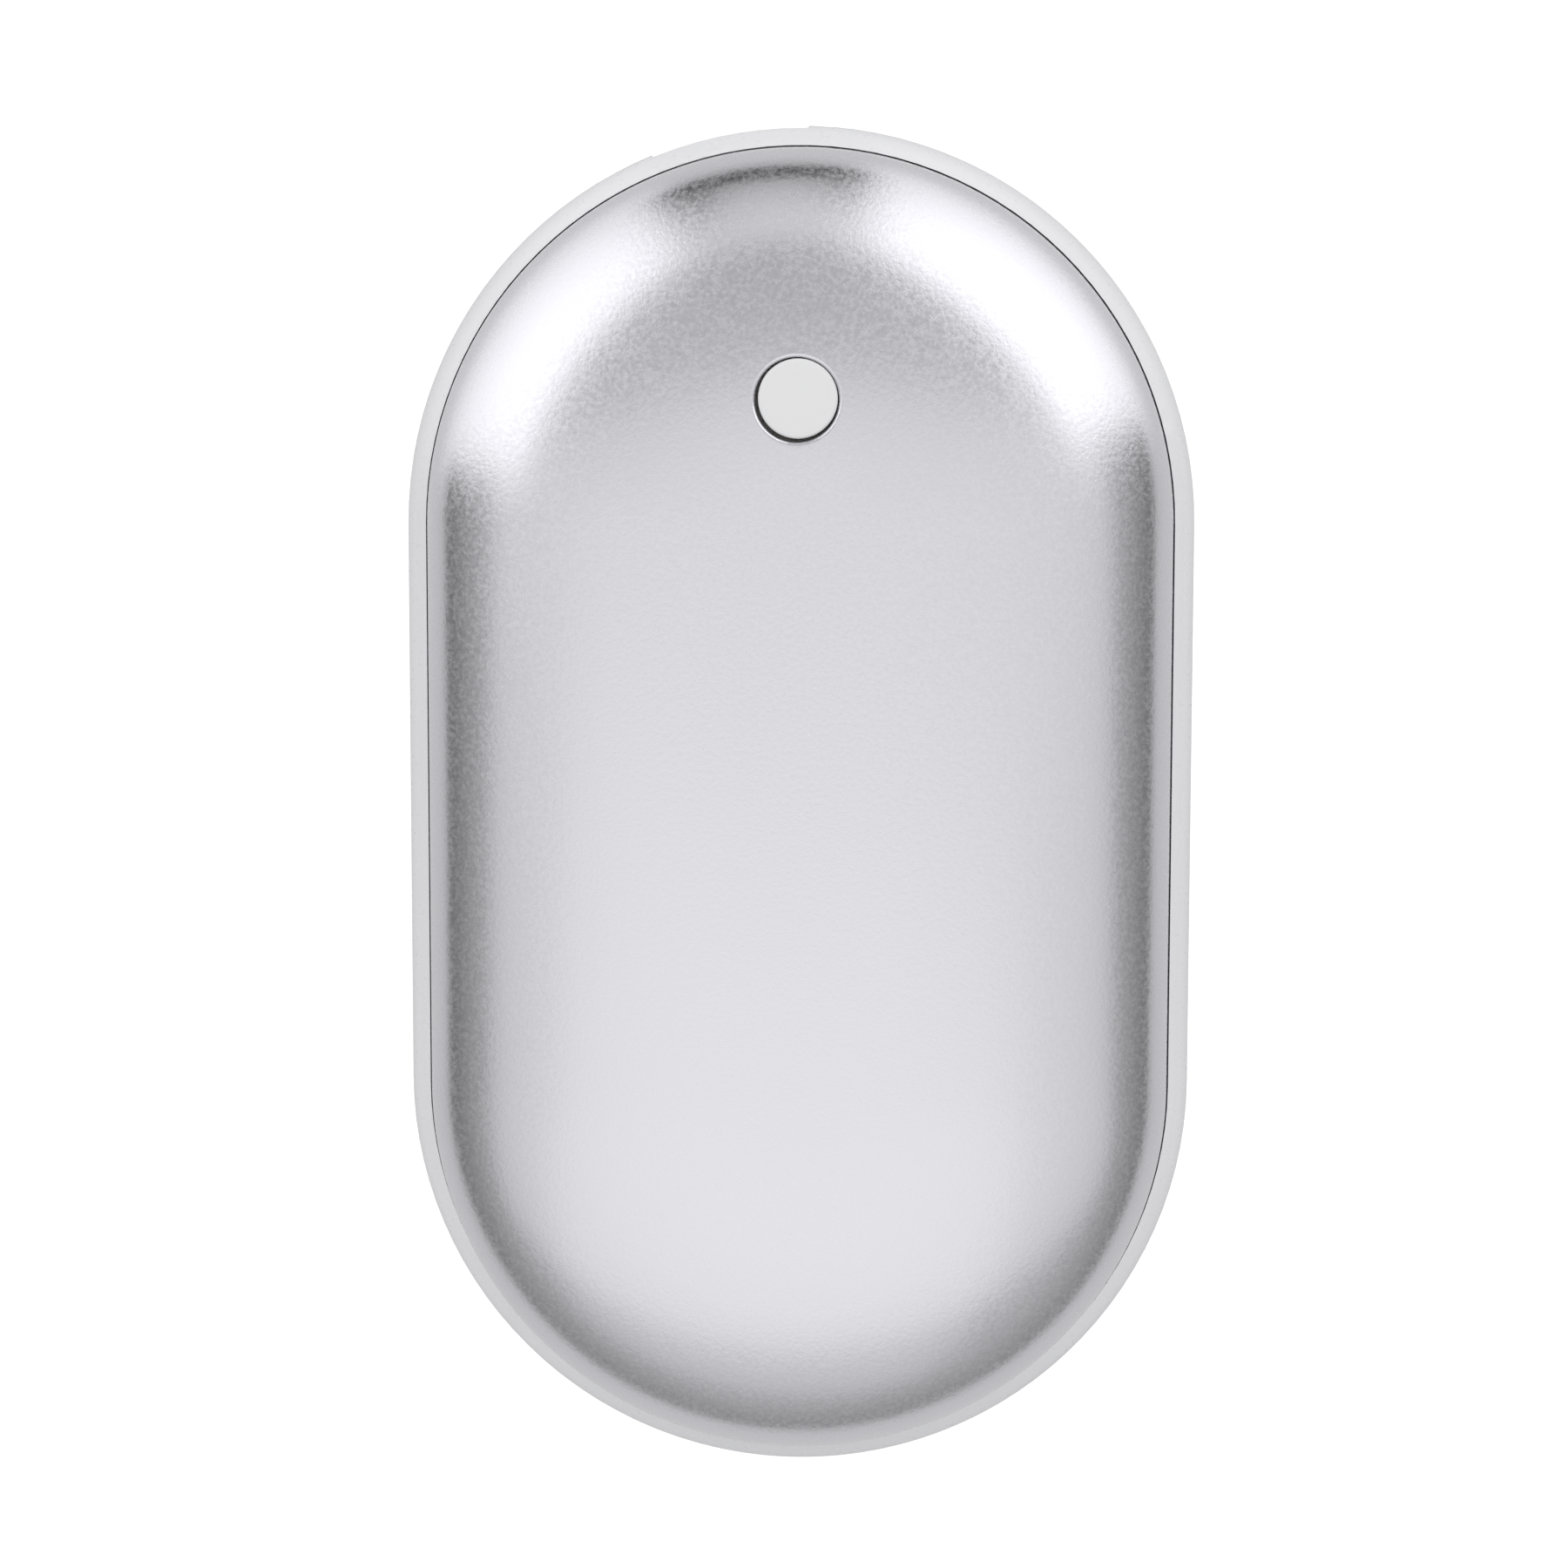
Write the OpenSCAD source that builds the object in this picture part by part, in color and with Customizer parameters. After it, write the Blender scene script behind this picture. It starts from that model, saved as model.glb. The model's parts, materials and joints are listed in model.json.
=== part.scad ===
// Rechargeable hand warmer: two domed aluminium shells on moulded liners, clamped round a middle
// band, with a heating film under each shell, two cylindrical cells and a control board.
// It lies on its rear shell. Origin: middle of its footprint, on the surface that it lies on.
// +Z points out of the front, where the button is, and +Y to the end with the sockets.

/* [Body] */
// Room beside the cells, out to the middle band's edge
side_room = 13.05; // [12:0.05:14.5]
// Room over and under the cells, out to the shells' crowns
top_room = 4.35; // [4:0.05:5]

/* [Middle band] */
// Height of the band between the two shells
band_h = 8; // [7.5:0.1:9]
// Height of the upright part of the band's nose
band_flat = 2.6; // [1.6:0.1:3.4]
// How far the band stands out past the shells
band_proud = 1.9; // [1.5:0.1:2.4]
// Thickness of the flange that the liners clamp
flange_t = 1.5; // [1.2:0.1:2]
// How far the flange reaches inside the liners
flange_reach = 1.4; // [1:0.1:2]

/* [Shells] */
// Sheet thickness of the aluminium shells
skin_t = 0.8; // [0.6:0.1:1]
// Radius of the bend next to the band
edge_r = 5; // [4:0.25:6]
// Radius of the shoulder between bend and crown
shoulder_r = 14; // [11:1:17]
// Slope at which the bend turns into the shoulder, in degrees
shoulder_a = 40; // [36:1:44]
// Draft of the drawn wall, in degrees
draft = 5; // [3:1:7]
// Height of the straight drawn wall above the band
skirt_h = 0.9; // [0.5:0.1:1.2]
// Width of the flat that the object lies on
rest_w = 8.6; // [6:0.2:12]
// Depth that the edge of a shell is let into the band
shell_seat = 0.6; // [0.3:0.1:0.9]
// Reveal between a shell and the band
seam_gap = 0.15; // [0.1:0.05:0.3]

/* [Liners] */
// Wall of the moulded liners
liner_t = 1.1; // [0.9:0.1:1.4]
// Room between shell and liner for film and tape
liner_gap = 0.4; // [0.35:0.05:0.6]
// Thickness of the ribs that cradle the cells
rib_t = 1.2; // [0.8:0.1:1.6]
// Height over the middle at which the ribs end
rib_edge = 5.5; // [5:0.1:6.5]
// Number of ribs along the cells
rib_count = 3; // [2:1:4]
// Width of the adhesive frame
tape_w = 4; // [2.5:0.5:4.5]
// From the shells' outline in to the adhesive frame
tape_inset = 2.5; // [2:0.25:3]

/* [Heating films] */
// Thickness of a film
film_t = 0.15; // [0.1:0.05:0.2]
// Thickness of the etched track
track_t = 0.1; // [0.05:0.01:0.12]
// Width of the track
track_w = 1.6; // [1:0.1:2.2]
// Number of runs across a film, in pairs
track_runs = 14; // [8:2:18]
// Half the width of a film
film_half_w = 19.5; // [16:0.5:20]

/* [Button] */
// Diameter of the button cap
button_d = 6.1; // [5.5:0.1:7]
// Gap round the cap in the shell
button_gap = 0.13; // [0.1:0.01:0.2]
// How far the cap stands out of the shell
button_proud = 0.15; // [0.05:0.05:0.2]
// How far the button travels
button_travel = 0.3; // [0.2:0.05:0.35]
// Chamfer round the hole in the shell
hole_chamfer = 0.12; // [0.05:0.01:0.2]

/* [Cells] */
// Diameter of a cell over its sleeve
cell_d = 18.3; // [18:0.1:18.6]
// Length of a cell
cell_l = 65; // [64:0.1:65.4]
// Gap between the two cells
cell_gap = 0.3; // [0.1:0.1:0.6]
// Clearance between the cells and the flange at the plain end
cell_clear = 0.124; // [0.1:0.01:1]
// Gap between the cells and the board, for the leads
lead_gap = 1.9; // [1.7:0.1:2.4]
// Wall of a cell's sleeve
sleeve_t = 0.15; // [0.1:0.01:0.2]
// Diameter of the insulated battery wires
wire_d = 1.3; // [1:0.1:1.4]

/* [Board] */
// Thickness of the board
board_t = 1; // [0.8:0.1:1.2]
// Clearance between the board and the screw posts
board_clear = 0.8; // [0.5:0.1:1.2]
// Room behind the switch, up to the board's back edge
board_room = 2.8; // [2.4:0.1:4]
// Gap between the switch and the output socket
switch_gap = 1.4; // [1.2:0.1:2]
// Total height of the tactile switch
switch_h = 7; // [6:0.1:7.5]
// Width of the tactile switch
switch_w = 6; // [5.6:0.1:6.2]
// Spacing of the four indicator lights
light_pitch = 1.8; // [1.7:0.05:1.85]

/* [Sockets] */
// Width of the output socket over its shell
output_w = 13.1; // [12.9:0.1:13.3]
// Height of the output socket over its shell
output_h = 5.7; // [5.6:0.1:5.8]
// Length of the output socket
output_l = 14; // [13:0.1:15.4]
// How far the mouth of the output socket lies behind the end of the band
output_recess = 3.4; // [3.2:0.1:4]
// Sideways place of the output socket
output_x = -5.6; // [-6:0.1:-5.4]
// Width of the charging socket over its shell
charge_w = 7.5; // [7.3:0.1:7.7]
// Height of the charging socket over its shell
charge_h = 2.45; // [2.4:0.05:2.6]
// Length of the charging socket
charge_l = 5.6; // [5:0.1:6]
// How far the mouth of the charging socket lies behind the end of the band
charge_recess = 2.8; // [2.6:0.1:3.4]
// Sideways place of the charging socket
charge_x = 7; // [6.8:0.1:7.1]

/* [Screws] */
// Thread diameter of the case screws
screw_d = 2; // [1.8:0.1:2.2]
// Gap between the cells and the screw posts
post_gap = 0.55; // [0.3:0.05:1]
// From the shells' outline in to the case screws
screw_inset = 6.573; // [6.4:0.05:6.8]
// Length of the case screws under the head
screw_l = 12; // [11:0.5:13]
// Outer diameter of the posts that the case screws pull together
post_d = 4.8; // [4.4:0.1:5]

/* [Hidden] */

$fa = 4;
$fs = 0.3;

// A tangent arc is drawn this much large, so that it crosses its neighbour instead of touching it
lap = 0.001;
// Clearance between static pieces with curved faces that lie against each other
ease = 0.03;
// Slack for cuts that run clear through a face
over = 1;

// The body is sized round what it holds: across, the two cells; along, the cells, the board's back
// room, the switch and the output socket
cell_r = cell_d / 2;
cell_x = cell_r + cell_gap / 2;
body_w = 2 * (cell_x + cell_r + side_room);
body_t = cell_d + 2 * top_room;
mid_z = body_t / 2;
shell_r = body_w / 2 - band_proud;
seam_z = band_h / 2;
shell_edge_z = seam_z - shell_seat;
rim_z = flange_t / 2;
liner_out = skin_t + liner_gap;
liner_in = liner_out + liner_t;
liner_mid = liner_out + liner_t / 2;
flange_in = shell_r - liner_in - flange_reach;
cell_reach = sqrt(pow(flange_in - cell_clear, 2) - pow(cell_x + cell_r, 2));
body_l = body_w / 2 - cell_reach + cell_l + lead_gap + board_room + switch_w + switch_gap
    + output_l + output_recess;
end_y = (body_l - body_w) / 2;

// The dome's half section runs from the straight wall through the edge bend and the shoulder to
// the crown, each tangent to the next. The crown's radius and slope close it at the flat.
edge_a = 90 - draft;
closing_run = shell_r - rest_w / 2 - shoulder_r * sin(shoulder_a)
    - edge_r * (sin(edge_a) - sin(shoulder_a)) - skirt_h * tan(draft);
closing_rise = mid_z - seam_z - skirt_h - edge_r * (cos(shoulder_a) - cos(edge_a))
    - shoulder_r * (1 - cos(shoulder_a));
crown_a = 2 * atan(closing_rise / closing_run);
crown_r = shoulder_r + closing_run / sin(crown_a);
crown_c = [rest_w / 2, mid_z - crown_r];
shoulder_c = crown_c + (crown_r - shoulder_r) * lean(crown_a);
edge_c = shoulder_c + (shoulder_r - edge_r) * lean(shoulder_a);

output_mouth = body_l / 2 - output_recess;
output_back = output_mouth - output_l;
button_y = output_back - switch_gap - switch_w / 2;
button_out = button_y - end_y;
button_top = dome_z(button_out, 0);
button_lean = asin((button_out - rest_w / 2) / crown_r);
hole_r = button_d / 2 + button_gap;
flange_r = button_d / 2 + 1.2;
guide_r = flange_r + 0.1;
guide_t = 1;
stop_z = dome_z(button_out + guide_r, liner_in) - 0.15;
cap_flange_t = 0.8;

cell_y0 = -end_y - cell_reach;
cell_y1 = cell_y0 + cell_l;
can_r = cell_r - sleeve_t - ease;
strip_t = 0.15;
negative_y = cell_y0 - sleeve_t - 2 * ease - strip_t;
lead_y = cell_y1 + lead_gap / 2 + strip_t;
valley_z = rib_edge - wire_d / 2 - 0.1;
rib_step = (cell_l - 14) / (rib_count - 1);
rib_ys = [for (i = [0 : rib_count - 1]) cell_y0 + 7 + i * rib_step];

board_top = -output_h / 2;
board_bottom = board_top - board_t;
board_back = cell_y1 + lead_gap;
board_inset = 3.8;
board_r = shell_r - board_inset;
nose_r = shell_r - 1.3;
nose_x = [output_x - output_w / 2 - 0.6, charge_x + charge_w / 2 + 0.9];
output_sheet = 0.3;
charge_mouth = body_l / 2 - charge_recess;
charge_sheet = 0.25;
charge_z = board_top + charge_h / 2;
charge_flare = 0.25;
switch_body_h = 3.4;
switch_floor = board_top + 1.9;
cover_t = 0.3;
plunger_top = board_top + switch_h;
light_x = nose_x[1] + 0.7;
light_xs = [for (i = [0 : 3]) light_x + i * light_pitch];
pin_r = 0.7;
led_h = 0.6;

screw_x = cell_x + cell_r + post_gap + post_d / 2;
screw_out = shell_r - screw_inset;
screw_a = acos(screw_x / screw_out);
screw_y = end_y + screw_out * sin(screw_a);
screw_places = [for (x = [-1, 1], y = [-1, 1]) [x * screw_x, y * screw_y]];
head_r = screw_d * 0.95;
head_h = screw_d * 0.65;
head_cover = 0.15;
head_seat = head_h + head_cover - dome_z(screw_out + head_r, liner_out);
board_half_w = screw_x - post_d / 2 - board_clear;
board_screw_places = [for (s = [-1, 1]) [s * (board_half_w - 3.4), board_back + 3.2]];
board_screw_d = 1.6;
board_screw_l = 4;
lead_slot = [6, 4];
lead_slot_y = board_back - 3.4;

function lean(a) = [sin(a), cos(a)];
function unit(v) = v / norm(v);
// Height of the crown or shoulder over the middle, at a distance from the spine
function dome_z(d, inset) =
    d <= crown_c[0] ? mid_z - inset
    : d <= shoulder_c[0] + (shoulder_r - inset) * sin(crown_a)
        ? crown_c[1] + sqrt(pow(crown_r - inset, 2) - pow(d - crown_c[0], 2))
    : shoulder_c[1] + sqrt(pow(shoulder_r - inset, 2) - pow(d - shoulder_c[0], 2));
function skirt_x(inset, z) =
    let (p = edge_c + (edge_r - inset - lap) * lean(edge_a)) p[0] + (p[1] - z) * tan(draft);
function arc_y(r, x) = end_y + sqrt(r * r - x * x);

module seated(tint) {
    color(tint) translate([0, 0, mid_z]) children();
}

// A slice of a disc, between two slopes
module pie(centre, r, from, to) {
    intersection() {
        translate(centre) circle(r);
        polygon([centre, centre + 2 * r * lean(from), centre + 2 * r * lean(to)]);
    }
}

// Half section of the solid under a dome whose surface lies inset below the shell's
module dome_area(inset, floor_z) {
    intersection() {
        union() {
            translate([0, -over]) square([crown_c[0], mid_z - inset - lap + over]);
            pie(crown_c, crown_r - inset, -2, crown_a);
            pie(shoulder_c, shoulder_r - inset + lap, crown_a - 2, shoulder_a);
            pie(edge_c, edge_r - inset + 2 * lap, shoulder_a - 2, edge_a + 2);
            polygon([crown_c, shoulder_c + [0, over / 2], edge_c + [0, over / 2],
                     edge_c + (edge_r - inset - lap) * lean(edge_a), [skirt_x(inset, -mid_z), -mid_z]]);
        }
        translate([0, floor_z]) square([body_w, body_t]);
    }
}

// Carries a half section round the body's outline
module around() {
    for (turn = [0, 180]) rotate([0, 0, turn]) translate([0, end_y, 0]) {
        rotate_extrude(angle = 180) children();
        rotate([90, 0, 0]) linear_extrude(height = 2 * end_y) children();
    }
}

module dome_solid(inset, floor_z = 0) {
    around() dome_area(inset, floor_z);
}

// The layer between two insets, above a height
module dome_layer(outer, inner, floor_z) {
    around() difference() {
        dome_area(outer, floor_z);
        dome_area(inner, floor_z - over / 2);
    }
}

module button_bore(r) {
    translate([0, button_y, 0]) cylinder(r = r, h = body_t);
}

module shell() {
    dome_layer(0, skin_t, shell_edge_z);
}

module front_shell() {
    seated("silver") difference() {
        shell();
        button_bore(hole_r);
        translate([0, button_y, button_top]) rotate([-button_lean, 0, 0])
            translate([0, 0, -hole_chamfer - over / 2])
                cylinder(r1 = hole_r - over / 2, r2 = hole_r + hole_chamfer + over / 2, h = hole_chamfer + over);
    }
}

module rear_shell() {
    seated("silver") mirror([0, 0, 1]) shell();
}

module cells_void() {
    for (s = [-1, 1]) translate([s * cell_x, cell_y0 - over, 0]) rotate([-90, 0, 0])
        cylinder(r = cell_r + ease * 2, h = cell_l + 2 * over);
}

// Section of the middle band: a rounded nose, and a flange that reaches in between the liners
module band_section() {
    inner = shell_r + seam_gap;
    run = body_w / 2 - inner;
    rise = (band_h - band_flat) / 2;
    round_r = (run * run + rise * rise) / (2 * run);
    intersection() {
        union() {
            for (s = [-1, 1]) translate([body_w / 2 - round_r, s * band_flat / 2]) circle(round_r);
            translate([inner, -band_flat / 2]) square([run - lap, band_flat]);
        }
        translate([inner, -seam_z]) square([run, band_h]);
    }
    translate([flange_in, -rim_z]) square([inner + run / 2 - flange_in, flange_t]);
}

// A rectangle with round corners, in the XZ plane, extruded along +Y
module slot_block(w, h, r, length) {
    rotate([90, 0, 0]) translate([0, 0, -length]) linear_extrude(height = length) {
        square([w - 2 * r, h], center = true);
        square([w, h - 2 * r], center = true);
        for (x = [-1, 1], z = [-1, 1]) translate([x * (w / 2 - r), z * (h / 2 - r)]) circle(r);
    }
}

// Room for sockets, board nose and light pipe, inside a radius from the end's centre
module port_room(r, z0, z1) {
    translate([0, end_y, z0]) intersection() {
        cylinder(r = r, h = z1 - z0);
        translate([nose_x[0] - 0.3, 0, 0])
            cube([light_xs[3] + 1.4 - nose_x[0], body_w, z1 - z0]);
    }
}

module middle_band() {
    post_r = post_d / 2;
    seated("white") difference() {
        union() {
            around() band_section();
            for (p = screw_places) translate([p[0], p[1], -rim_z]) {
                cylinder(r = post_r, h = flange_t);
                rotate([0, 0, sign(p[0] * p[1]) * screw_a + (p[0] < 0 ? 180 : 0)])
                    translate([0, -post_r, 0]) cube([screw_inset - 1.5, post_d, flange_t]);
            }
        }
        for (p = screw_places) translate([p[0], p[1], -over]) cylinder(r = screw_d / 2 + 0.15, h = 2 * over);
        port_room(shell_r + seam_gap, -rim_z - over, rim_z + over);
        translate([output_x, output_mouth + 0.1 - output_l, 0])
            slot_block(output_w + 0.4, output_h + 0.4, 0.4, output_l);
        translate([output_x, output_mouth - over, 0])
            slot_block(output_w - 2 * output_sheet, output_h - 2 * output_sheet, 0.3, output_l);
        translate([charge_x, charge_mouth - charge_l, charge_z])
            slot_block(charge_w + 2 * charge_flare + 0.4, charge_h + 2 * charge_flare + 0.4, 0.5, 3 * charge_l);
        for (x = light_xs) translate([x, end_y, 0]) rotate([-90, 0, 0])
            cylinder(r = pin_r + 0.05, h = body_w);
    }
}

module screw_posts(height) {
    for (p = screw_places) translate([p[0], p[1], rim_z]) cylinder(r = post_d / 2, h = height);
}

module saddle_ribs() {
    for (y = rib_ys) translate([-body_w / 2, y - rib_t / 2, rib_edge]) cube([body_w, rib_t, mid_z]);
}

module lead_slot_cut() {
    translate([-lead_slot[0] / 2, lead_slot_y, rib_edge]) cube([lead_slot[0], lead_slot[1], mid_z]);
}

module front_liner() {
    seated("ivory") difference() {
        union() {
            dome_layer(liner_out, liner_in, rim_z);
            intersection() {
                dome_solid(liner_mid);
                union() {
                    screw_posts(mid_z);
                    saddle_ribs();
                    translate([0, button_y, stop_z - 2.4]) cylinder(r = guide_r + guide_t, h = mid_z);
                }
            }
        }
        cells_void();
        button_bore(hole_r);
        translate([0, button_y, 0]) cylinder(r = guide_r, h = stop_z);
        for (p = screw_places) translate([p[0], p[1], 0])
            cylinder(r = screw_d / 2 + 0.02, h = head_seat + screw_l + over);
        lead_slot_cut();
        port_room(body_w / 2, 0, output_h / 2 + 0.3);
    }
}

module rear_liner() {
    seated("ivory") difference() {
        mirror([0, 0, 1]) difference() {
            union() {
                dome_layer(liner_out, liner_in, rim_z);
                intersection() {
                    dome_solid(liner_mid);
                    union() {
                        screw_posts(mid_z);
                        saddle_ribs();
                        for (p = board_screw_places) translate([p[0], p[1], -board_bottom])
                            cylinder(r = 2, h = mid_z);
                        translate([-cell_d, cell_y0 - 1.6, rib_edge]) cube([2 * cell_d, rib_t, mid_z]);
                    }
                }
            }
            cells_void();
            lead_slot_cut();
            port_room(body_w / 2, 0, board_t + output_h / 2 + 0.3);
        }
        for (p = screw_places) translate([p[0], p[1], head_seat - mid_z])
            cylinder(r = head_r + 0.2, h = mid_z);
        for (p = screw_places) translate([p[0], p[1], head_seat - over])
            cylinder(r = screw_d / 2 + 0.15, h = mid_z);
        for (p = board_screw_places) translate([p[0], p[1], board_bottom - board_screw_l])
            cylinder(r = board_screw_d / 2 + 0.02, h = board_screw_l + over);
    }
}

// Adhesive frame between a shell and its liner
module bond_tape() {
    outer = shell_r - tape_inset;
    around() intersection() {
        difference() {
            dome_area(skin_t + ease, 0);
            dome_area(liner_out - ease, -over / 2);
        }
        translate([outer - tape_w, 0]) square([tape_w, body_t]);
    }
}

module front_bond_tape() {
    seated("khaki") bond_tape();
}

module rear_bond_tape() {
    seated("khaki") mirror([0, 0, 1]) bond_tape();
}

film_top = skin_t + ease;
film_r = shell_r - tape_inset - tape_w - 1;
film_y0 = -end_y - film_r + 1.5;
film_y1 = lead_slot_y + lead_slot[1] + 0.6;

// Outline of a heating film: round at the plain end, straight at the other, with a tail for wires
module film_outline(border) {
    r = film_r - border;
    intersection() {
        union() {
            translate([0, -end_y]) circle(r);
            translate([-r, -end_y]) square([2 * r, film_y1 + end_y]);
        }
        translate([-film_half_w + border, film_y0 + border])
            square([2 * (film_half_w - border), film_y1 - film_y0 - 2 * border]);
    }
}

module heater_film() {
    intersection() {
        dome_layer(film_top, film_top + film_t, seam_z);
        linear_extrude(height = body_t) film_outline(0);
    }
}

// The track: pairs of straight runs across the film, joined at alternate ends, with two ends by
// the slot
module heater_track() {
    border = 1.5;
    runs = 2 * round(track_runs / 2);
    top = film_y1 - border - lead_slot[1];
    bottom = film_y0 + border + 3;
    step = (top - bottom) / (runs - 1);
    reach = film_half_w - border - 4;
    intersection() {
        dome_layer(film_top + film_t, film_top + film_t + track_t, seam_z);
        linear_extrude(height = body_t) {
            for (i = [0 : runs - 1]) translate([-reach, bottom + i * step])
                square([2 * reach, track_w]);
            for (i = [0 : runs - 2]) translate([i % 2 == 0 ? reach - track_w : -reach, bottom + i * step])
                square([track_w, step + track_w]);
            translate([-reach - 2, bottom]) square([2 + track_w, track_w]);
            translate([-reach - 2, bottom]) square([track_w, film_y1 - border - bottom]);
            translate([-reach - 2, film_y1 - border - track_w]) square([reach + 2 - 1, track_w]);
            translate([reach - track_w, top]) square([track_w, film_y1 - border - top]);
            translate([1, film_y1 - border - track_w]) square([reach - 1, track_w]);
        }
    }
}

module front_heater_film() {
    seated("orange") heater_film();
}

module rear_heater_film() {
    seated("orange") mirror([0, 0, 1]) heater_film();
}

module front_heater_track() {
    seated("peru") heater_track();
}

module rear_heater_track() {
    seated("peru") mirror([0, 0, 1]) heater_track();
}

// Foam pads between the ribs, from the cells up to the liner
module foam_pads() {
    half_w = cell_x + 1.7;
    floor_z = cell_r + 2 * ease;
    for (i = [0 : rib_count - 2]) {
        y = rib_ys[i] + rib_t / 2 + 1;
        top = dome_z(norm([half_w, max(-y - end_y, 0)]), liner_in) - 2 * ease;
        translate([-half_w, y, floor_z]) cube([2 * half_w, rib_step - rib_t - 2, top - floor_z]);
    }
}

module front_foam() {
    seated("dimgray") foam_pads();
}

module rear_foam() {
    seated("dimgray") mirror([0, 0, 1]) foam_pads();
}

// The cap's face follows the shell; its flange stops under the liner, and a crossed stem reaches
// down to the switch
module button_cap() {
    cap_r = button_d / 2;
    flange_top = stop_z - 0.05;
    stem_r = 1.6;
    seated("whitesmoke") {
        intersection() {
            translate([0, button_y, flange_top - cap_flange_t / 2]) cylinder(r = cap_r, h = mid_z);
            dome_solid(-button_proud, seam_z);
        }
        translate([0, button_y, flange_top - cap_flange_t]) cylinder(r = flange_r, h = cap_flange_t);
        translate([0, button_y, plunger_top + 0.02]) {
            stem_h = flange_top - cap_flange_t / 2 - plunger_top - 0.02;
            cylinder(r = 1, h = stem_h);
            intersection() {
                cylinder(r = stem_r, h = stem_h);
                for (turn = [0, 90]) rotate([0, 0, turn])
                    translate([-2, -0.4, 0.8]) cube([4, 0.8, stem_h - 0.8]);
            }
        }
    }
}

// Tactile switch: base with a well, steel cover with folded tabs, plunger and snap dome
module switch_body() {
    legs = [for (x = [-1, 1], y = [-1, 1]) [x * (switch_w / 2 + 0.3), y * 2.25]];
    seated("dimgray") translate([0, button_y, board_top]) {
        difference() {
            translate([-switch_w / 2, -switch_w / 2, 0]) cube([switch_w, switch_w, switch_body_h]);
            translate([0, 0, switch_floor - board_top]) cylinder(r = 2.4, h = switch_body_h);
        }
        for (p = legs) translate([p[0] - 0.35, p[1] - 0.35, 0]) cube([0.7, 0.7, 1]);
    }
}

module switch_cover() {
    seated("lightgray") translate([0, button_y, board_top + switch_body_h]) {
        difference() {
            translate([-switch_w / 2, -switch_w / 2, 0]) cube([switch_w, switch_w, cover_t]);
            translate([0, 0, -over]) cylinder(r = 1.8, h = 3 * over);
        }
        for (s = [-1, 1]) translate([-1, s * (switch_w / 2 + 0.1) - 0.1, -1.4]) cube([2, 0.2, 1.4 + cover_t]);
    }
}

module switch_plunger() {
    cover_under = board_top + switch_body_h;
    seated("black") translate([0, button_y, 0]) {
        translate([0, 0, cover_under - 0.55]) cylinder(r = 1.7, h = plunger_top - cover_under + 0.55);
        translate([0, 0, cover_under - 0.55]) cylinder(r = 2.2, h = 0.5);
        translate([0, 0, switch_floor + 0.57]) cylinder(r = 0.8, h = cover_under - 0.3 - switch_floor - 0.57);
    }
}

module switch_dome() {
    thick = 0.12;
    seated("gainsboro") translate([0, button_y, switch_floor]) rotate_extrude() polygon([
        [0, 0.5], [0.7, 0.5], [1.5, 0.3], [2.1, thick], [2.3, thick], [2.3, 0], [2.1, 0],
        [1.5, 0.3 - thick], [0.7, 0.5 - thick], [0, 0.5 - thick]]);
}

// Board outline: straight back and sides, round at the front, with a nose under the sockets
module board_outline() {
    intersection() {
        translate([-board_half_w, board_back]) square([2 * board_half_w, body_w]);
        translate([0, end_y]) circle(board_r);
    }
    intersection() {
        translate([nose_x[0], board_back]) square([nose_x[1] - nose_x[0], body_w]);
        translate([0, end_y]) circle(nose_r);
    }
}

module main_board() {
    seated("green") translate([0, 0, board_bottom]) difference() {
        linear_extrude(height = board_t) board_outline();
        for (p = board_screw_places) translate([p[0], p[1], -over])
            cylinder(r = board_screw_d / 2 + 0.1, h = 3 * over);
    }
}

// Output socket: folded steel shell with spring windows, insulator with a tongue, four contacts
module output_socket_shell() {
    inner = [output_w - 2 * output_sheet, output_h - 2 * output_sheet];
    seated("lightgray") translate([output_x, output_mouth - output_l, 0]) difference() {
        slot_block(output_w, output_h, 0.6, output_l);
        translate([0, output_sheet, 0]) slot_block(inner[0], inner[1], 0.3, output_l);
        for (x = [-3, 3], z = [-1, 1]) translate([x, output_l - 9, z * output_h / 2]) difference() {
            translate([-1.3, 0, -1]) cube([2.6, 5.5, 2]);
            translate([-0.9, -over, -2]) cube([1.8, 5.5 + over - 0.4, 4]);
        }
    }
}

module output_socket_insulator() {
    inner_w = output_w - 2 * output_sheet;
    inner_h = output_h - 2 * output_sheet;
    tongue_top = inner_h / 2 - 0.75;
    seated("white") translate([output_x, output_mouth - output_l + output_sheet, 0]) difference() {
        union() {
            translate([-inner_w / 2 + ease + 0.3, 0, -inner_h / 2]) cube([inner_w - 0.6 - 2 * ease, 4.5, inner_h]);
            translate([-5.55, 0, tongue_top - 1.84]) cube([11.1, output_l - output_sheet - 0.9, 1.84]);
        }
        output_contact_strips();
    }
}

module output_contact_strips() {
    tongue_under = (output_h / 2 - output_sheet) - 0.75 - 1.84;
    for (x = [-3.5, -1, 1, 3.5]) translate([x - 0.5, 2, tongue_under]) cube([1, abs(x) > 2 ? 10.4 : 9.4, 0.25]);
}

module output_socket_contacts() {
    seated("gold") translate([output_x, output_mouth - output_l + output_sheet, 0]) output_contact_strips();
}

// Charging socket: its mouth is narrower at the bottom and flares round the edge
module charge_outline(grow) {
    w = charge_w / 2 + grow;
    h = charge_h / 2 + grow;
    polygon([[-w, h], [w, h], [w, -h * 0.2], [w - h * 0.9, -h], [-w + h * 0.9, -h], [-w, -h * 0.2]]);
}

module charge_prism(grow, y0, y1) {
    translate([charge_x, y1, charge_z]) rotate([90, 0, 0])
        linear_extrude(height = y1 - y0) charge_outline(grow);
}

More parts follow.
